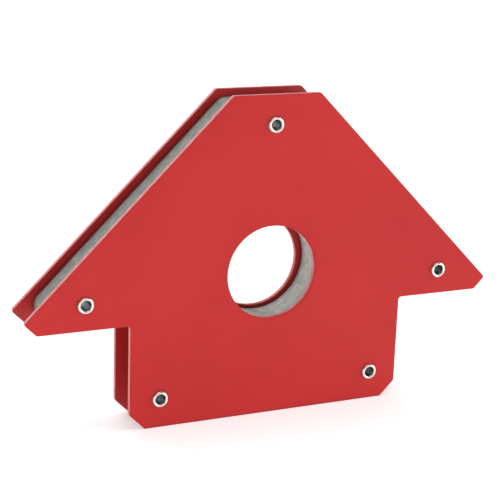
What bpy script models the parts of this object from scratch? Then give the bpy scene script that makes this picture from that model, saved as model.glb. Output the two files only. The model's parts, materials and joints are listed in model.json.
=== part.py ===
"""Arrow-shaped welding magnet holder, standing upright on the bottom edges of its two plates.

Two steel pole plates are riveted together over a cast aluminium core that carries four ferrite
block magnets. Units are metres. X is the width, Y the thickness (the front plate is on the -Y
side) and Z the height. The origin is the middle of the base.
"""

import math

import bmesh
import bpy

MM = 0.001

# Driving dimensions of the plates
WIDTH = 155.0 * MM             # over the rounded wing tips
HEIGHT = 100.9 * MM
THICKNESS = 15.2 * MM          # over both plates, without the rivet heads
PLATE = 1.7 * MM
TOP_HALF = 14.25 * MM          # half of the flat top edge
WING_BOTTOM = 33.4 * MM        # height of the wings' undersides
STEM_HALF = 45.65 * MM
FOOT_CHAMFER = 4.9 * MM
CORNER_RADIUS = 1.0 * MM
EDGE_BEVEL = 0.25 * MM

# The large hole, in the plates and in the core
HOLE_HEIGHT = 46.0 * MM
HOLE_RADIUS = 14.6 * MM
CORE_HOLE_RADIUS = 16.4 * MM
CORE_HOLE_LIFT = 0.8 * MM      # the cast hole sits a little above the plates' holes

# Rivets
TOP_RIVET = (-0.5 * MM, 91.8 * MM)    # drilled a little off the middle
WING_RIVET = (59.5 * MM, 41.4 * MM)
FOOT_RIVET = (36.0 * MM, 9.2 * MM)
RIVET_BORE_RADIUS = 1.55 * MM
RIVET_SHANK_RADIUS = 2.1 * MM
RIVET_RIM_RADIUS = 2.5 * MM
RIVET_PROUD = 0.9 * MM
CROWN_POWER = 0.8              # below 1 makes the rolled rim fuller than a half round

# Core and magnets
GAP = 0.3 * MM                 # clearance between neighbouring pieces
CORE_INSET = 2.1 * MM          # from the plates' slanted edges, square to them
CORE_TOP_INSET = 2.3 * MM
CORE_END_HALF = 71.5 * MM
CORE_BOTTOM_INSET = 3.0 * MM
CORE_TOP_RADIUS = 3.0 * MM
CORE_END_RADIUS = 4.0 * MM
CORE_HEEL_RADIUS = 1.5 * MM    # where the ends meet the underside
CORE_BEVEL = 0.5 * MM
TONGUE_HALF = 16.6 * MM
TONGUE_BOTTOM = 3.0 * MM
TONGUE_RADIUS = 2.0 * MM
MAGNET_WIDTH = 25.0 * MM
MAGNET_HEIGHT = 20.0 * MM
MAGNET_CHAMFER = 0.5 * MM
POCKET_RADIUS = 1.0 * MM
UPPER_MAGNET = (0.0, 76.2 * MM)
LOWER_MAGNET = (0.0, 16.0 * MM)
SIDE_MAGNET = (32.5 * MM, 49.4 * MM)
SLEEVE_RADIUS = 3.75 * MM

# Facets
CORNER_STEPS = 4
HOLE_STEPS = 64
RIVET_HOLE_STEPS = 20
RIVET_STEPS = 20
RIM_STEPS = 3
SLEEVE_STEPS = 24
SHARP_ANGLE = math.radians(35)
RIM_ANGLE = math.radians(60)   # faces on the two sides of a rim turn by more than this
MATCH_DIGITS = 7               # places are compared to a tenth of a micrometre

# Colours
COAT_RED = (0.57, 0.035, 0.032)
CAST_GREY = (0.32, 0.34, 0.31)
FERRITE_BLACK = (0.045, 0.045, 0.05)
NICKEL = (0.80, 0.76, 0.70)
TUBE_STEEL = (0.55, 0.55, 0.56)

INNER_FACE = THICKNESS / 2 - PLATE
CORE_DEPTH = 2 * (INNER_FACE - GAP)


def clear_scene():
    for obj in list(bpy.data.objects):
        bpy.data.objects.remove(obj, do_unlink=True)


def material(name, colour, roughness, metallic):
    mat = bpy.data.materials.new(name)
    mat.use_nodes = True
    shader = mat.node_tree.nodes["Principled BSDF"]
    shader.inputs["Base Color"].default_value = (*colour, 1.0)
    shader.inputs["Roughness"].default_value = roughness
    shader.inputs["Metallic"].default_value = metallic
    mat.diffuse_color = (*colour, 1.0)
    return mat


def add_object(name, mesh, mat, parent, location=(0.0, 0.0, 0.0)):
    """A copy of the mesh as a named object with a material of its own."""
    obj = bpy.data.objects.new(name, mesh.copy())
    obj.data.materials.clear()
    obj.data.materials.append(mat)
    obj.location = location
    obj.parent = parent
    bpy.context.scene.collection.objects.link(obj)
    return obj


def finish_mesh(name, bm):
    """Closes a bmesh as a smooth-shaded mesh whose sharp edges stay crisp."""
    bmesh.ops.recalc_face_normals(bm, faces=bm.faces[:])
    mesh = bpy.data.meshes.new(name)
    bm.to_mesh(mesh)
    bm.free()
    mesh.shade_smooth()
    mesh.set_sharp_from_angle(angle=SHARP_ANGLE)
    return mesh


def circle(centre, radius, steps):
    x, z = centre
    turn = 2 * math.pi / steps
    return [(x + radius * math.cos(i * turn), z + radius * math.sin(i * turn)) for i in range(steps)]


def rounded(corners, steps=CORNER_STEPS):
    """The outline through (x, z, radius) corners, each rounded by an arc that touches both sides."""
    points = []
    for i, (x, z, radius) in enumerate(corners):
        before = corners[i - 1]
        after = corners[(i + 1) % len(corners)]
        to_before = math.atan2(before[1] - z, before[0] - x)
        to_after = math.atan2(after[1] - z, after[0] - x)
        opening = math.remainder(to_after - to_before, 2 * math.pi)
        middle = to_before + opening / 2
        reach = radius / math.sin(abs(opening) / 2)
        centre = (x + reach * math.cos(middle), z + reach * math.sin(middle))
        sweep = math.copysign(math.pi - abs(opening), -opening)
        start = middle + math.pi - sweep / 2
        for step in range(steps + 1):
            angle = start + sweep * step / steps
            points.append((centre[0] + radius * math.cos(angle), centre[1] + radius * math.sin(angle)))
    return points


def mirrored(half):
    """The whole outline from the corners of its right half, listed from the top down."""
    return half + [(-x, z, radius) for x, z, radius in reversed(half)]


def plate_outline():
    """The arrow: both slants and the tips' chamfers run at 45 degrees."""
    tip = WIDTH / 2 + CORNER_RADIUS * (math.sqrt(2) - 1)
    shoulder = HEIGHT - (tip - TOP_HALF)
    return rounded(mirrored([
        (TOP_HALF, HEIGHT, CORNER_RADIUS),
        (tip, shoulder, CORNER_RADIUS),
        (tip - (shoulder - WING_BOTTOM), WING_BOTTOM, CORNER_RADIUS),
        (STEM_HALF, WING_BOTTOM, CORNER_RADIUS),
        (STEM_HALF, FOOT_CHAMFER, CORNER_RADIUS),
        (STEM_HALF - FOOT_CHAMFER, 0.0, CORNER_RADIUS),
    ]))


def core_outline():
    """Follows the head of the arrow, and carries on below the hole as a narrow tongue."""
    slant_sum = TOP_HALF + HEIGHT - CORE_INSET * math.sqrt(2)
    top = HEIGHT - CORE_TOP_INSET
    bottom = WING_BOTTOM + CORE_BOTTOM_INSET
    return rounded(mirrored([
        (slant_sum - top, top, CORE_TOP_RADIUS),
        (CORE_END_HALF, slant_sum - CORE_END_HALF, CORE_END_RADIUS),
        (CORE_END_HALF, bottom, CORE_HEEL_RADIUS),
        (TONGUE_HALF, bottom, TONGUE_RADIUS),
        (TONGUE_HALF, TONGUE_BOTTOM, TONGUE_RADIUS),
    ]))


def rectangle(centre, width, height, radius):
    x, z = centre
    return rounded([
        (x + width / 2, z + height / 2, radius),
        (x + width / 2, z - height / 2, radius),
        (x - width / 2, z - height / 2, radius),
        (x - width / 2, z + height / 2, radius),
    ])


def both_sides(place):
    x, z = place
    return [(-x, z), (x, z)]


def slab(name, bevelled, plain, depth, bevel):
    """A flat piece centred on y = 0: closed (x, z) loops, outer one first, filled and extruded.

    The rims of the bevelled loops are chamfered, those of the plain loops stay square.
    """
    bm = bmesh.new()
    loops = []
    for loop in bevelled + plain:
        verts = [bm.verts.new((x, -depth / 2, z)) for x, z in loop]
        loops.append([bm.edges.new((verts[i - 1], verts[i])) for i in range(len(verts))])
    rims = [edge for loop in loops[:len(bevelled)] for edge in loop]
    sheet = bmesh.ops.triangle_fill(bm, edges=[e for loop in loops for e in loop], use_beauty=True)
    faces = [item for item in sheet["geom"] if isinstance(item, bmesh.types.BMFace)]
    far = bmesh.ops.extrude_face_region(bm, geom=faces, use_keep_orig=True)
    far_verts = [item for item in far["geom"] if isinstance(item, bmesh.types.BMVert)]
    bmesh.ops.translate(bm, verts=far_verts, vec=(0.0, depth, 0.0))
    spots = {spot(vert) for edge in rims for vert in edge.verts}
    chamfered = [edge for edge in bm.edges if is_rim(edge, spots)]
    bmesh.ops.bevel(bm, geom=chamfered, offset=bevel, segments=1, affect="EDGES")
    return finish_mesh(name, bm)


def spot(vert):
    return (round(vert.co.x, MATCH_DIGITS), round(vert.co.z, MATCH_DIGITS))


def is_rim(edge, spots):
    """True for an edge that runs round one of the loops, at either face."""
    start, end = edge.verts
    if abs(start.co.y - end.co.y) > GAP or len(edge.link_faces) != 2:
        return False
    if edge.calc_face_angle(0.0) < RIM_ANGLE:
        return False
    return spot(start) in spots and spot(end) in spots


def turned(name, profile, steps):
    """A ring turned round the Y axis from a closed profile of (radius, y) points."""
    bm = bmesh.new()
    verts = [bm.verts.new((radius, y, 0.0)) for radius, y in profile]
    edges = [bm.edges.new((verts[i - 1], verts[i])) for i in range(len(verts))]
    bmesh.ops.spin(bm, geom=verts + edges, cent=(0.0, 0.0, 0.0), axis=(0.0, 1.0, 0.0),
                   steps=steps, angle=2 * math.pi, use_merge=True)
    return finish_mesh(name, bm)


def rivet_profile():
    """Half of a tube with a rolled rim on each end: the bore, the crown, the lip and the shank."""
    face = THICKNESS / 2
    crown = face + RIVET_PROUD
    lip = face + GAP
    middle = (RIVET_BORE_RADIUS + RIVET_RIM_RADIUS) / 2
    half = (RIVET_RIM_RADIUS - RIVET_BORE_RADIUS) / 2
    rim = []
    for step in range(2 * RIM_STEPS + 1):
        angle = math.pi * (1 - step / (2 * RIM_STEPS))
        height = (crown - lip) * math.sin(angle) ** CROWN_POWER if 0 < step < 2 * RIM_STEPS else 0.0
        rim.append((middle + half * math.cos(angle), lip + height))
    front = rim + [(RIVET_SHANK_RADIUS, lip)]
    back = [(radius, -y) for radius, y in reversed(front)]
    return front + back


def build():
    clear_scene()
    holder = bpy.data.objects.new("welding_magnet_holder", None)
    bpy.context.scene.collection.objects.link(holder)

    rivet_places = {
        "rivet_top": TOP_RIVET,
        "rivet_left_wing": both_sides(WING_RIVET)[0],
        "rivet_right_wing": both_sides(WING_RIVET)[1],
        "rivet_left_foot": both_sides(FOOT_RIVET)[0],
        "rivet_right_foot": both_sides(FOOT_RIVET)[1],
    }
    magnet_places = {
        "magnet_upper": UPPER_MAGNET,
        "magnet_lower": LOWER_MAGNET,
        "magnet_left": both_sides(SIDE_MAGNET)[0],
        "magnet_right": both_sides(SIDE_MAGNET)[1],
    }
    hole = (0.0, HOLE_HEIGHT)
    core_hole = (0.0, HOLE_HEIGHT + CORE_HOLE_LIFT)
    shank_hole = RIVET_SHANK_RADIUS + GAP

    rivet_holes = [circle(place, shank_hole, RIVET_HOLE_STEPS) for place in rivet_places.values()]
    plate = slab("pole_plate", [plate_outline(), circle(hole, HOLE_RADIUS, HOLE_STEPS)],
                 rivet_holes, PLATE, EDGE_BEVEL)
    plate_offset = (THICKNESS - PLATE) / 2
    add_object("front_plate", plate, material("front_plate_coat", COAT_RED, 0.35, 0.0), holder,
               (0.0, -plate_offset, 0.0))
    add_object("rear_plate", plate, material("rear_plate_coat", COAT_RED, 0.35, 0.0), holder,
               (0.0, plate_offset, 0.0))

    core_rivets = [TOP_RIVET] + both_sides(WING_RIVET)
    core_rivet_holes = [circle(place, shank_hole, RIVET_HOLE_STEPS) for place in core_rivets]
    pockets = [rectangle(place, MAGNET_WIDTH + 2 * GAP, MAGNET_HEIGHT + 2 * GAP, POCKET_RADIUS)
               for place in magnet_places.values()]
    core = slab("core", [core_outline(), circle(core_hole, CORE_HOLE_RADIUS, HOLE_STEPS)],
                pockets + core_rivet_holes, CORE_DEPTH, CORE_BEVEL)
    add_object("core_casting", core, material("cast_aluminium", CAST_GREY, 0.6, 0.6), holder)

    magnet = slab("magnet", [rectangle((0.0, 0.0), MAGNET_WIDTH, MAGNET_HEIGHT, MAGNET_CHAMFER)],
                  [], CORE_DEPTH, MAGNET_CHAMFER)
    for name, (x, z) in magnet_places.items():
        ferrite = material(name + "_ferrite", FERRITE_BLACK, 0.55, 0.0)
        add_object(name, magnet, ferrite, holder, (x, 0.0, z))

    rivet = turned("rivet", rivet_profile(), RIVET_STEPS)
    for name, (x, z) in rivet_places.items():
        plating = material(name + "_plating", NICKEL, 0.25, 1.0)
        add_object(name, rivet, plating, holder, (x, 0.0, z))

    sleeve_end = CORE_DEPTH / 2
    sleeve = turned("sleeve", [(shank_hole, -sleeve_end), (SLEEVE_RADIUS, -sleeve_end),
                               (SLEEVE_RADIUS, sleeve_end), (shank_hole, sleeve_end)], SLEEVE_STEPS)
    for side, (x, z) in zip(("left", "right"), both_sides(FOOT_RIVET)):
        steel = material(side + "_sleeve_steel", TUBE_STEEL, 0.4, 1.0)
        add_object("spacer_sleeve_" + side, sleeve, steel, holder, (x, 0.0, z))


build()
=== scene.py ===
import json
import math
from collections import namedtuple

import bmesh
import bpy
from mathutils import Matrix, Vector, noise


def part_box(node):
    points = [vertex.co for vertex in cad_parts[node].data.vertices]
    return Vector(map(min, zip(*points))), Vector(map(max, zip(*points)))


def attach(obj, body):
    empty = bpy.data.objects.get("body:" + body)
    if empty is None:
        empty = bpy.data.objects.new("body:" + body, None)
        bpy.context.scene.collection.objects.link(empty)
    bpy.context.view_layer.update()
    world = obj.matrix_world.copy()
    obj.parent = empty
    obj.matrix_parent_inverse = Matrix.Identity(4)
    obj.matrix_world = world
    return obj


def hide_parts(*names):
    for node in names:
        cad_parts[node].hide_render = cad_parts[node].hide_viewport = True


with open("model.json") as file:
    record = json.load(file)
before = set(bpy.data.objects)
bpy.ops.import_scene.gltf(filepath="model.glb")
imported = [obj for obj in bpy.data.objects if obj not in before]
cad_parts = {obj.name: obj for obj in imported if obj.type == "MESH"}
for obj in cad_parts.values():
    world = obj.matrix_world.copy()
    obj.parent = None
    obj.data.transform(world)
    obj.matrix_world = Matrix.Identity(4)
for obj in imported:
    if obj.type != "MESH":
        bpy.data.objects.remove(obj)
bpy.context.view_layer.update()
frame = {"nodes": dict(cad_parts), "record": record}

MM = 0.001
TAU = 2 * math.pi

# Camera: a long macro lens to the left of and above the holder, tipped a little
CAMERA_AZIMUTH = math.radians(-24.687)
CAMERA_ELEVATION = math.radians(15.747)
CAMERA_ROLL = math.radians(1.946)
CAMERA_DISTANCE = 420.8 * MM
CAMERA_TARGET_X = -7.62 * MM
CAMERA_TARGET_Z = 53.69 * MM
CAMERA_LENS = 100.1            # millimetres, on a 36 mm sensor

# A punched rim: the face rolls over a width by a drop, then turns with a small round. Painted
# shade darkens the coat on the roll by its shade, and for a short band down the wall.
Rim = namedtuple("Rim", "roll drop round band shade", defaults=(0.0,))

# Plates: what the frame doesn't say
FOOT_CHAMFER = 4.9 * MM
CORNER_RADIUS = 1.0 * MM
HOLE_RADIUS = 14.6 * MM
RIVET_HOLE_RADIUS = 2.25 * MM
HOLDING_RING = 0.25 * MM       # flat ring that keeps the faces' shading flat
OUTLINE_RIM = Rim(0.30 * MM, 0.03 * MM, 0.13 * MM, 0.30 * MM, shade=0.10)
HOLE_RIM = Rim(0.90 * MM, 0.14 * MM, 0.12 * MM, 0.30 * MM, shade=0.50)
INNER_RIM = Rim(0.0, 0.0, 0.13 * MM, 0.0)
SEAT_RIM = Rim(0.50 * MM, 0.03 * MM, 0.10 * MM, 0.0, shade=0.55)

# Core casting
CORE_INSET = 2.1 * MM          # from the plates' slanted edges, square to them
CORE_LIFT = 3.0 * MM           # of its ends above the wings' undersides
CORE_TOP_RADIUS = 3.0 * MM
CORE_END_RADIUS = 4.0 * MM
CORE_HEEL_RADIUS = 1.5 * MM
TONGUE_HALF = 16.6 * MM
TONGUE_RADIUS = 2.0 * MM
CORE_HOLE_RADIUS = 16.4 * MM
CORE_HOLE_LIFT = 0.8 * MM      # the cast hole sits a little above the plates' holes
CORE_RIVET_RADIUS = 2.4 * MM
POCKET_CLEARANCE = 0.3 * MM
POCKET_RADIUS = 1.0 * MM
CORE_RIM = Rim(0.0, 0.0, 1.6 * MM, 0.0)
BORE_RIM = Rim(0.0, 0.0, 0.9 * MM, 0.0)
POCKET_RIM = Rim(0.0, 0.0, 0.2 * MM, 0.0)
CORE_FIT = 0.02 * MM           # clearance to each plate
CORE_WAVE = 0.10 * MM          # how far the cast skin wanders
CORE_GRAIN = 0.035 * MM

# Rivets and sleeves
RIVET_BORE = 1.55 * MM
RIVET_SHANK = 2.1 * MM
RIVET_SEAT = 0.02 * MM         # clearance under the rolled rim
RIVET_NECK = 0.1 * MM          # the shank's flare under its rim
RIVET_NECK_DEPTH = 0.2 * MM
RIVET_MOUTH_DEPTHS = (1.5 * MM, 0.4 * MM)
CROWN_POWER = 0.7              # below 1 makes the rolled rim fuller than a half circle
CROWN_SHARE = 0.975            # of the CAD rim's height, to stay inside its box
SLEEVE_CLEARANCE = 0.15 * MM
SLEEVE_CUT = 0.3 * MM

# Studio, in metres
FLOOR_FLAT = 4.0
FLOOR_SWEEP = 2.0
FLOOR_RISE = 1.6
LIGHT_AIM = Vector((0.0, 0.0, 0.05))


# ---------------------------------------------------------------- outlines

def resampled(points, spacing):
    """The closed outline with extra points, so that none is further than spacing from the next."""
    dense = []
    for i, start in enumerate(points):
        end = points[(i + 1) % len(points)]
        parts = max(1, math.ceil((end - start).length / spacing))
        dense += [start.lerp(end, part / parts) for part in range(parts)]
    return dense


def rounded(corners, steps):
    """The closed outline through (x, z, radius) corners, each rounded by an arc."""
    points = []
    for i, (x, z, radius) in enumerate(corners):
        before = corners[i - 1]
        after = corners[(i + 1) % len(corners)]
        to_before = math.atan2(before[1] - z, before[0] - x)
        to_after = math.atan2(after[1] - z, after[0] - x)
        opening = math.remainder(to_after - to_before, TAU)
        middle = to_before + opening / 2
        reach = radius / math.sin(abs(opening) / 2)
        centre = Vector((x + reach * math.cos(middle), z + reach * math.sin(middle)))
        sweep = math.copysign(math.pi - abs(opening), -opening)
        start = middle + math.pi - sweep / 2
        for step in range(steps + 1):
            angle = start + sweep * step / steps
            points.append(centre + radius * Vector((math.cos(angle), math.sin(angle))))
    return points


def mirrored(half):
    return half + [(-x, z, radius) for x, z, radius in reversed(half)]


def circle(centre, radius, steps):
    """Runs the other way round from an outline, so material is on the same side of both."""
    return [centre + radius * Vector((math.cos(-i * TAU / steps), -math.sin(-i * TAU / steps)))
            for i in range(steps)]


def edge_normals(loop):
    """For each point, the unit direction that leads into the material."""
    normals = []
    for i, point in enumerate(loop):
        along = (loop[(i + 1) % len(loop)] - point).normalized() + (point - loop[i - 1]).normalized()
        along.normalize()
        normals.append(Vector((along.y, -along.x)))
    return normals


# ---------------------------------------------------------------- meshes

def finished(name, bm, material, replaced, sharp=50):
    """Turns a bmesh into a piece that rides on the body and stands for CAD nodes."""
    bmesh.ops.recalc_face_normals(bm, faces=bm.faces[:])
    mesh = bpy.data.meshes.new(name)
    bm.to_mesh(mesh)
    bm.free()
    mesh.shade_smooth()
    mesh.set_sharp_from_angle(angle=math.radians(sharp))
    mesh.materials.append(material)
    piece = bpy.data.objects.new(name, mesh)
    bpy.context.scene.collection.objects.link(piece)
    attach(piece, "root")
    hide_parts(replaced)
    return piece


def rim_rows(rim, steps):
    """(depth, inset, marks) rows of a rim, from the flat face over the roll and round to the wall."""
    rows = [(0.0, rim.round + rim.roll + HOLDING_RING, {})]
    # the roll mark is the rim's share of painted shade
    if rim.roll:
        for step in range(steps):
            share = step / steps
            inset = rim.round + rim.roll * (1 - share)
            rows.append((rim.drop * share ** 2, inset, {"roll": rim.shade * share}))
    for step in range(steps + 1):
        turn = math.pi / 2 * step / steps
        marks = {"edge": step / steps, "roll": rim.shade}
        depth = rim.drop + rim.round * (1 - math.cos(turn))
        rows.append((depth, rim.round * (1 - math.sin(turn)), marks))
    if rim.band:
        rows.append((rim.drop + rim.round + rim.band, 0.0, {"edge": 1.0, "roll": 0.6 * rim.shade}))
    return rows


def section(depth, near, far, side_rows, steps=5):
    """Rows from the near face, round its rim and down the wall, to the far face."""
    rows = rim_rows(near, steps)
    back = [(depth - y, inset, marks) for y, inset, marks in reversed(rim_rows(far, steps))]
    start, end = rows[-1][0], back[0][0]
    for row in range(1, side_rows):
        rows.append((start + (end - start) * row / side_rows, 0.0, {"edge": 1.0}))
    return rows + back


def marked(rows, name):
    return [(y, inset, {**marks, name: 1.0}) for y, inset, marks in rows]


def skinned_slab(loops, near, roughen=None):
    """A closed flat piece. loops is a list of (outline, section rows), near the y of its near face.

    roughen(point) may move a wall point along its own normal by the distance it returns.
    """
    bm = bmesh.new()
    layers = {name: bm.verts.layers.float.new(name) for name in ("edge", "roll", "bore")}
    caps = ([], [])
    for outline, rows in loops:
        normals = edge_normals(outline)
        rings = []
        for y, inset, marks in rows:
            ring = []
            for point, normal in zip(outline, normals):
                spot = point + normal * inset
                place = Vector((spot.x, near + y, spot.y))
                if roughen and marks:
                    place -= Vector((normal.x, 0.0, normal.y)) * roughen(place)
                vert = bm.verts.new(place)
                for name, value in marks.items():
                    vert[layers[name]] = value
                ring.append(vert)
            rings.append(ring)
        for ring, following in zip(rings, rings[1:]):
            for i in range(len(ring)):
                bm.faces.new((ring[i - 1], ring[i], following[i], following[i - 1]))
        caps[0].append(rings[0])
        caps[1].append(rings[-1])
    for rings in caps:
        edges = [bm.edges.get((ring[i - 1], ring[i])) for ring in rings for i in range(len(ring))]
        bmesh.ops.triangle_fill(bm, edges=edges, use_beauty=True)
    return bm


def turned(profile, centre, steps, wobble=0.0):
    """A ring turned about an axis along Y: profile is a closed list of (radius, y, mask)."""
    bm = bmesh.new()
    mask_layer = bm.verts.layers.float.new("bore")
    rings = []
    for step in range(steps):
        angle = TAU * step / steps
        out = Vector((math.cos(angle), 0.0, math.sin(angle)))
        ring = []
        for radius, y, mask in profile:
            seed = Vector((out.x * 1.3 + centre.x * 900, y * 400, out.z * 1.3 + centre.y * 900))
            reach = radius * (1 + wobble * noise.noise(seed))
            vert = bm.verts.new(Vector((centre.x, y, centre.y)) + out * reach)
            vert[mask_layer] = mask
            ring.append(vert)
        rings.append(ring)
    for i, ring in enumerate(rings):
        before = rings[i - 1]
        for j in range(len(ring)):
            bm.faces.new((before[j - 1], before[j], ring[j], ring[j - 1]))
    return bm


# ---------------------------------------------------------------- materials

class Shading:
    """A material with a Principled shader, and short ways to add nodes that vary it."""

    def __init__(self, name, roughness, metallic=0.0, ior=1.5):
        self.material = bpy.data.materials.new(name)
        self.material.use_nodes = True
        self.tree = self.material.node_tree
        self.shader = self.tree.nodes["Principled BSDF"]
        self.shader.inputs["Metallic"].default_value = metallic
        self.shader.inputs["IOR"].default_value = ior
        self.shader.inputs["Roughness"].default_value = roughness
        self.place = self.node("ShaderNodeTexCoord").outputs["Object"]

    def node(self, kind, **inputs):
        made = self.tree.nodes.new(kind)
        for name, value in inputs.items():
            self.feed(made.inputs[name.replace("_", " ")], value)
        return made

    def feed(self, socket, value):
        if isinstance(value, bpy.types.NodeSocket):
            self.tree.links.new(value, socket)
        else:
            socket.default_value = value

    def noise(self, scale, detail=3.0, rough=0.5, stretch=(1, 1, 1)):
        place = self.place
        if stretch != (1, 1, 1):
            place = self.node("ShaderNodeMapping", Vector=self.place, Scale=stretch).outputs[0]
        made = self.node("ShaderNodeTexNoise", Vector=place, Scale=scale, Detail=detail, Roughness=rough)
        return made.outputs["Fac"]

    def voronoi(self, scale):
        return self.node("ShaderNodeTexVoronoi", Vector=self.place, Scale=scale).outputs["Distance"]

    def attribute(self, name):
        made = self.node("ShaderNodeAttribute")
        made.attribute_name = name
        return made.outputs["Fac"]

    def painted_crevice_shade(self, reach, open_share):
        """A mask for painted shade: 1 in corners that other surfaces crowd within reach, falling to 0 where
        it is open.
        """
        made = self.node("ShaderNodeAmbientOcclusion", Distance=reach)
        made.samples = 8
        return self.span(made.outputs["AO"], 0.45, open_share, 1.0, 0.0)

    def span(self, value, low, high, to_low=0.0, to_high=1.0):
        made = self.node("ShaderNodeMapRange")
        for socket, number in zip(made.inputs, (value, low, high, to_low, to_high)):
            self.feed(socket, number)
        return made.outputs["Result"]

    def math(self, operation, a, b):
        made = self.node("ShaderNodeMath")
        made.operation = operation
        self.feed(made.inputs[0], a)
        self.feed(made.inputs[1], b)
        return made.outputs[0]

    def blend(self, share, a, b):
        made = self.node("ShaderNodeMix")
        made.data_type = "RGBA"
        self.feed(made.inputs["Factor"], share)
        for socket, colour in ((made.inputs[6], a), (made.inputs[7], b)):
            self.feed(socket, colour if isinstance(colour, bpy.types.NodeSocket) else (*colour, 1.0))
        return made.outputs[2]

    def bump(self, height, distance, strength=1.0, normal=None):
        made = self.node("ShaderNodeBump", Height=height, Distance=distance, Strength=strength)
        if normal:
            self.feed(made.inputs["Normal"], normal)
        return made.outputs["Normal"]

    def set(self, name, value):
        self.feed(self.shader.inputs[name], value)


def powder_coat(name, seed, highlight_share):
    """Red powder coat with orange peel. Painted shade darkens the rolled rims, the inner faces in the gap
    and the crevices; a painted highlight, patchy like wear, and painted glints pale the walls.
    """
    coat = Shading(name, roughness=0.34, ior=1.40)
    edge = coat.attribute("edge")
    roll = coat.attribute("roll")
    drift = coat.noise(28.0 + seed, detail=2.0)
    fine = coat.noise(2600.0, detail=3.0)
    base = coat.blend(coat.span(drift, 0.3, 0.7), (0.520, 0.0075, 0.0075), (0.575, 0.0120, 0.0120))
    base = coat.blend(coat.span(fine, 0.45, 0.75, 0.0, 0.10), base, (0.40, 0.007, 0.008))
    # painted shade: the plates' inner faces, in the gap between them, are painted darker
    gap_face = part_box("rear_plate")[0].y
    across = coat.math("ABSOLUTE", coat.node("ShaderNodeSeparateXYZ", Vector=coat.place).outputs["Y"], 0.0)
    gap_shade = coat.span(across, gap_face + 0.05 * MM, gap_face + 0.15 * MM, 0.80, 0.0)
    base = coat.blend(gap_shade, base, (0.46, 0.028, 0.027))
    # painted highlight: the walls are painted paler where they catch light, patchy like wear
    patchy = coat.span(coat.noise(700.0, detail=3.0), 0.35, 0.70, 0.4 * highlight_share, highlight_share)
    painted_wall_highlight = coat.math("MULTIPLY", edge, patchy)
    base = coat.blend(painted_wall_highlight, base, (0.92, 0.55, 0.53))
    # painted shade on the rolled rims, round the hole and the rivet seats
    base = coat.blend(coat.math("MULTIPLY", roll, 0.75), base, (0.34, 0.007, 0.010))
    # painted shade in crevices
    base = coat.blend(coat.painted_crevice_shade(1.5 * MM, 0.95), base, (0.34, 0.024, 0.024))
    # painted glints: pale specks on the walls
    painted_edge_glints = coat.math("MULTIPLY", edge, coat.span(coat.noise(520.0, detail=5.0), 0.73, 0.76, 0.0, 0.6))
    coat.set("Base Color", coat.blend(painted_edge_glints, base, (0.85, 0.62, 0.58)))
    coat.set("Roughness", coat.span(coat.noise(160.0, detail=4.0), 0.3, 0.7, 0.30, 0.38))
    first = coat.bump(coat.noise(620.0, detail=2.0), 0.00005)
    coat.set("Normal", coat.bump(fine, 0.000012, normal=first))
    return coat.material


def cast_metal():
    """Grey-green casting: cloudy, grainy and faintly pitted, with painted shade in crevices, cleaner in the
    hole.
    """
    cast = Shading("cast_grey", roughness=0.6, metallic=0.15)
    cloud = cast.noise(480.0, detail=5.0, rough=0.6)
    grain = cast.noise(1500.0, detail=4.0, rough=0.6)
    tint = cast.noise(330.0, detail=2.0)
    base = cast.blend(cast.span(cloud, 0.35, 0.65), (0.165, 0.180, 0.165), (0.33, 0.335, 0.31))
    base = cast.blend(cast.span(tint, 0.40, 0.62, 0.0, 0.45), base, (0.20, 0.285, 0.240))
    base = cast.blend(cast.span(grain, 0.42, 0.62, 0.0, 0.35), base, (0.38, 0.385, 0.37))
    clean = cast.blend(cast.span(cloud, 0.35, 0.65), (0.37, 0.41, 0.37), (0.62, 0.62, 0.60))
    base = cast.blend(cast.attribute("bore"), base, clean)
    pits = cast.span(cast.voronoi(520.0), 0.10, 0.22, 1.0, 0.0)
    pits = cast.math("MULTIPLY", pits, cast.span(cast.noise(300.0), 0.52, 0.66, 0.0, 0.45))
    base = cast.blend(pits, base, (0.12, 0.125, 0.115))
    # painted shade in the casting's crevices
    cast.set("Base Color", cast.blend(cast.painted_crevice_shade(3.2 * MM, 0.97), base, (0.060, 0.045, 0.042)))
    cast.set("Roughness", cast.span(grain, 0.3, 0.7, 0.50, 0.72))
    first = cast.bump(cloud, 0.00015)
    cast.set("Normal", cast.bump(grain, 0.00006, normal=first))
    return cast.material


def rivet_plating(name):
    """Bright nickel on the rims, dull and mottled grey down the bore."""
    plate = Shading(name, roughness=0.25, metallic=1.0)
    bore = plate.attribute("bore")
    stain = plate.noise(1300.0, detail=4.0)
    bright = plate.blend(plate.span(stain, 0.35, 0.70), (0.92, 0.87, 0.81), (0.80, 0.75, 0.69))
    dull = plate.blend(plate.span(stain, 0.35, 0.65), (0.26, 0.30, 0.29), (0.66, 0.70, 0.70))
    plate.set("Base Color", plate.blend(bore, bright, dull))
    patchy = plate.span(plate.noise(2400.0, detail=3.0), 0.3, 0.7, 0.24, 0.38)
    plate.set("Roughness", plate.math("ADD", patchy, plate.math("MULTIPLY", bore, 0.06)))
    plate.set("Normal", plate.bump(plate.noise(3000.0, detail=3.0), 0.000015))
    return plate.material


def ferrite():
    """Sintered ferrite: near-black grey with paler grinding dust."""
    block = Shading("sintered_ferrite", roughness=0.5)
    dust = block.noise(900.0, detail=6.0, rough=0.65)
    dusty = block.span(dust, 0.45, 0.75)
    block.set("Base Color", block.blend(dusty, (0.035, 0.036, 0.040), (0.11, 0.11, 0.115)))
    block.set("Roughness", block.span(dust, 0.3, 0.7, 0.42, 0.62))
    block.set("Normal", block.bump(block.noise(2500.0, detail=4.0), 0.00004))
    return block.material


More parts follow.
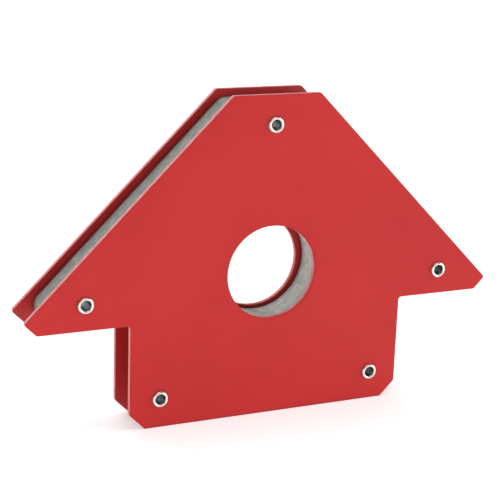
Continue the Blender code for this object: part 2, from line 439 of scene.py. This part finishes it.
def tube_steel():
    """Cut and tumbled steel tube, with faint turning marks."""
    tube = Shading("tumbled_steel", roughness=0.35, metallic=1.0)
    cloud = tube.noise(500.0, detail=4.0)
    marks = tube.noise(900.0, detail=2.0, stretch=(0.15, 3.0, 0.15))
    tube.set("Base Color", tube.blend(tube.span(cloud, 0.35, 0.65), (0.50, 0.50, 0.50), (0.62, 0.61, 0.59)))
    tube.set("Roughness", tube.span(marks, 0.3, 0.7, 0.28, 0.44))
    tube.set("Normal", tube.bump(marks, 0.00002))
    return tube.material


# ---------------------------------------------------------------- pieces

def mount(name):
    return next(Vector(m["pos_m"]) for m in frame["record"]["mounts"] if m["name"] == name)


def centre_of(node):
    low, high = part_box(node)
    middle = (low + high) / 2
    return Vector((middle.x, middle.z))


RIVETS = [name for name in sorted(frame["nodes"]) if name.startswith("rivet_")]
SLEEVES = [name for name in sorted(frame["nodes"]) if name.startswith("spacer_sleeve_")]
MAGNETS = [name for name in sorted(frame["nodes"]) if name.startswith("magnet_")]
OPENING = next(o["box_m"] for o in frame["record"]["physics"]["openings"] if o["name"] == "centre_hole")
HOLE_CENTRE = Vector((0.0, (OPENING[0][2] + OPENING[1][2]) / 2))


def plate_outline():
    """The arrow. Its lines come from the mounts, which lie on them, and its size from the CAD box."""
    low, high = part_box("front_plate")
    slant = mount("right_slant_edge")
    half_top = slant.x + slant.z - high.z
    underside = mount("right_wing_underside").z
    stem = mount("right_stem_edge").x
    tip = high.x + CORNER_RADIUS * (math.sqrt(2) - 1)
    shoulder = high.z - (tip - half_top)
    corners = mirrored([
        (half_top, high.z, CORNER_RADIUS),
        (tip, shoulder, CORNER_RADIUS),
        (tip - (shoulder - underside), underside, CORNER_RADIUS),
        (stem, underside, CORNER_RADIUS),
        (stem, low.z + FOOT_CHAMFER, CORNER_RADIUS),
        (stem - FOOT_CHAMFER, low.z, CORNER_RADIUS),
    ])
    return rounded(corners, steps=10)


def build_plate(node, outside_first, seed, highlight_share):
    low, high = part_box(node)
    depth = high.y - low.y

    def rows(outer_rim):
        rims = (outer_rim, INNER_RIM) if outside_first else (INNER_RIM, outer_rim)
        return section(depth, *rims, side_rows=3)

    loops = [(plate_outline(), rows(OUTLINE_RIM)), (circle(HOLE_CENTRE, HOLE_RADIUS, 144), rows(HOLE_RIM))]
    loops += [(circle(centre_of(rivet), RIVET_HOLE_RADIUS, 40), rows(SEAT_RIM)) for rivet in RIVETS]
    bm = skinned_slab(loops, low.y)
    finished(node + "_coated", bm, powder_coat(node + "_red", seed, highlight_share), node)


def rough_skin(place):
    wave = noise.noise(place * 180) * CORE_WAVE
    return wave + noise.noise(place * 900) * CORE_GRAIN


def build_core():
    """The casting between the plates: an arrow head with a tongue below its round hole."""
    low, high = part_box("core_casting")
    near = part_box("front_plate")[1].y + CORE_FIT
    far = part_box("rear_plate")[0].y - CORE_FIT
    slant = mount("right_slant_edge")
    line = slant.x + slant.z - CORE_INSET * math.sqrt(2)
    underside = mount("right_wing_underside").z + CORE_LIFT
    corners = mirrored([
        (line - high.z, high.z, CORE_TOP_RADIUS),
        (high.x, line - high.x, CORE_END_RADIUS),
        (high.x, underside, CORE_HEEL_RADIUS),
        (TONGUE_HALF, underside, TONGUE_RADIUS),
        (TONGUE_HALF, low.z, TONGUE_RADIUS),
    ])
    outline = resampled(rounded(corners, steps=8), 1.2 * MM)
    depth = far - near
    rows = section(depth, CORE_RIM, CORE_RIM, side_rows=10, steps=4)
    bore_rows = marked(section(depth, BORE_RIM, BORE_RIM, side_rows=10, steps=4), "bore")
    small = section(depth, POCKET_RIM, POCKET_RIM, side_rows=3, steps=2)
    bore_centre = HOLE_CENTRE + Vector((0.0, CORE_HOLE_LIFT))
    loops = [(outline, rows), (circle(bore_centre, CORE_HOLE_RADIUS, 128), bore_rows)]
    for rivet in RIVETS:
        place = centre_of(rivet)
        if place.y > underside:
            loops.append((circle(place, CORE_RIVET_RADIUS, 32), small))
    for magnet in MAGNETS:
        magnet_low, magnet_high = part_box(magnet)
        left, right = magnet_low.x - POCKET_CLEARANCE, magnet_high.x + POCKET_CLEARANCE
        bottom, top = magnet_low.z - POCKET_CLEARANCE, magnet_high.z + POCKET_CLEARANCE
        pocket_corners = ((right, top), (left, top), (left, bottom), (right, bottom))
        pocket = [(x, z, POCKET_RADIUS) for x, z in pocket_corners]
        loops.append((rounded(pocket, steps=4), small))
    bm = skinned_slab(loops, near, rough_skin)
    finished("core_casting_skin", bm, cast_metal(), "core_casting")


def rivet_profile(node):
    """A tube whose ends are rolled outwards into domed rims that press on the plates."""
    low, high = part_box(node)
    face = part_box("rear_plate")[1].y
    crown = high.y
    rim = (high.x - low.x) / 2
    middle = (RIVET_BORE + rim) / 2
    half = (rim - RIVET_BORE) / 2
    flare = 10
    front = [(RIVET_BORE, face - depth, 1.0) for depth in RIVET_MOUTH_DEPTHS]
    for step in range(flare + 1):
        angle = math.pi * (1 - step / flare)
        height = (crown - face) * math.sin(angle) ** CROWN_POWER if 0 < step < flare else 0.0
        inside = max(0.0, 1.0 - step / 2.5)
        front.append((middle + half * math.cos(angle), face + RIVET_SEAT + height * CROWN_SHARE, inside))
    front.append((RIVET_SHANK + RIVET_NECK, face + RIVET_SEAT, 0.0))
    front.append((RIVET_SHANK, face - RIVET_NECK_DEPTH, 0.0))
    back = [(radius, -y, mask) for radius, y, mask in reversed(front)]
    return front + back


def build_rivet(node, plating):
    bm = turned(rivet_profile(node), centre_of(node), steps=64, wobble=0.03)
    finished(node + "_set", bm, plating, node)


def build_sleeve(node, steel):
    low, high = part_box(node)
    outer = (high.x - low.x) / 2
    bore = RIVET_SHANK + SLEEVE_CLEARANCE
    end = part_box("rear_plate")[0].y - CORE_FIT
    inner_end = end - SLEEVE_CUT
    half = [(bore + SLEEVE_CUT, end, 0.5), (outer - SLEEVE_CUT, end, 0.0), (outer, inner_end, 0.0)]
    profile = [(bore, inner_end, 1.0)] + half
    profile += [(radius, -y, mask) for radius, y, mask in reversed(profile)]
    bm = turned(profile, centre_of(node), steps=64)
    finished(node + "_cut", bm, steel, node, sharp=30)


def build_holder():
    build_plate("front_plate", outside_first=True, seed=0.0, highlight_share=0.36)
    build_plate("rear_plate", outside_first=False, seed=3.0, highlight_share=0.30)
    build_core()
    plating = rivet_plating("nickel_plate")
    for rivet in RIVETS:
        build_rivet(rivet, plating)
    steel = tube_steel()
    for sleeve in SLEEVES:
        build_sleeve(sleeve, steel)
    block = ferrite()
    for magnet in MAGNETS:
        mesh = frame["nodes"][magnet].data
        mesh.materials.clear()
        mesh.materials.append(block)


# ---------------------------------------------------------------- studio

def build_floor():
    """A round white floor whose far rim curves up, so that no horizon shows in any view."""
    steps = 12
    profile = [(FLOOR_FLAT, 0.0)]
    for step in range(1, steps + 1):
        turn = math.pi / 2 * step / steps
        profile.append((FLOOR_FLAT + FLOOR_SWEEP * math.sin(turn), FLOOR_RISE * (1 - math.cos(turn))))
    bm = bmesh.new()
    rings = []
    for radius, height in profile:
        points = circle(Vector((0.0, 0.0)), radius, 96)
        rings.append([bm.verts.new((point.x, point.y, height)) for point in points])
    bm.faces.new(rings[0])
    for ring, following in zip(rings, rings[1:]):
        for i in range(len(ring)):
            bm.faces.new((ring[i - 1], ring[i], following[i], following[i - 1]))
    bmesh.ops.recalc_face_normals(bm, faces=bm.faces[:])
    mesh = bpy.data.meshes.new("studio_floor")
    bm.to_mesh(mesh)
    bm.free()
    mesh.shade_smooth()
    pale = Shading("studio_white", roughness=0.7)
    pale.set("Base Color", pale.blend(pale.noise(4.0), (0.93, 0.93, 0.93), (0.95, 0.95, 0.95)))
    pale.set("Emission Color", (1.0, 1.0, 1.0, 1.0))
    away = pale.node("ShaderNodeVectorMath", Vector=pale.place)
    away.operation = "LENGTH"
    pale.set("Emission Strength", pale.span(away.outputs["Value"], 0.6, 2.5, 0.42, 0.85))
    mesh.materials.append(pale.material)
    floor = bpy.data.objects.new("studio_floor", mesh)
    bpy.context.scene.collection.objects.link(floor)


def build_world():
    world = bpy.data.worlds.new("studio")
    bpy.context.scene.world = world
    world.use_nodes = True
    sky = world.node_tree.nodes["Background"]
    sky.inputs["Color"].default_value = (1.0, 1.0, 1.0, 1.0)
    sky.inputs["Strength"].default_value = 0.10


def softbox(name, azimuth, elevation, distance, side, power):
    """A square soft light aimed at the holder. Azimuth 0 is in front, negative to the camera's left."""
    turn, rise = math.radians(azimuth), math.radians(elevation)
    flat = math.cos(rise)
    away = Vector((math.sin(turn) * flat, -math.cos(turn) * flat, math.sin(rise)))
    light = bpy.data.lights.new(name, "AREA")
    light.size = side
    light.energy = power
    lamp = bpy.data.objects.new(name, light)
    lamp.location = LIGHT_AIM + away * distance
    lamp.rotation_mode = "QUATERNION"
    lamp.rotation_quaternion = away.to_track_quat("Z", "Y")
    bpy.context.scene.collection.objects.link(lamp)


def build_lights():
    softbox("overhead_softbox", azimuth=-150, elevation=82, distance=1.5, side=1.5, power=15.0)
    softbox("front_fill", azimuth=-40, elevation=24, distance=1.6, side=1.6, power=2.5)
    softbox("side_softbox", azimuth=70, elevation=20, distance=1.5, side=1.0, power=9.0)
    softbox("back_softbox", azimuth=-172, elevation=27, distance=1.5, side=1.1, power=7.0)


def build_camera():
    flat = math.cos(CAMERA_ELEVATION)
    across, towards = math.sin(CAMERA_AZIMUTH) * flat, -math.cos(CAMERA_AZIMUTH) * flat
    back = Vector((across, towards, math.sin(CAMERA_ELEVATION)))
    level = Vector((0.0, 0.0, 1.0)).cross(back).normalized()
    upright = back.cross(level)
    right = level * math.cos(CAMERA_ROLL) + upright * math.sin(CAMERA_ROLL)
    up = upright * math.cos(CAMERA_ROLL) - level * math.sin(CAMERA_ROLL)
    data = bpy.data.cameras.new("camera")
    data.lens = CAMERA_LENS
    data.sensor_width = 36.0
    camera = bpy.data.objects.new("camera", data)
    target = Vector((CAMERA_TARGET_X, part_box("front_plate")[0].y, CAMERA_TARGET_Z))
    place = Matrix((right, up, back)).transposed().to_4x4()
    place.translation = target + back * CAMERA_DISTANCE
    camera.matrix_world = place
    bpy.context.scene.collection.objects.link(camera)
    bpy.context.scene.camera = camera


build_camera()
build_holder()
build_floor()
build_world()
build_lights()
bpy.context.scene.view_settings.view_transform = "Standard"
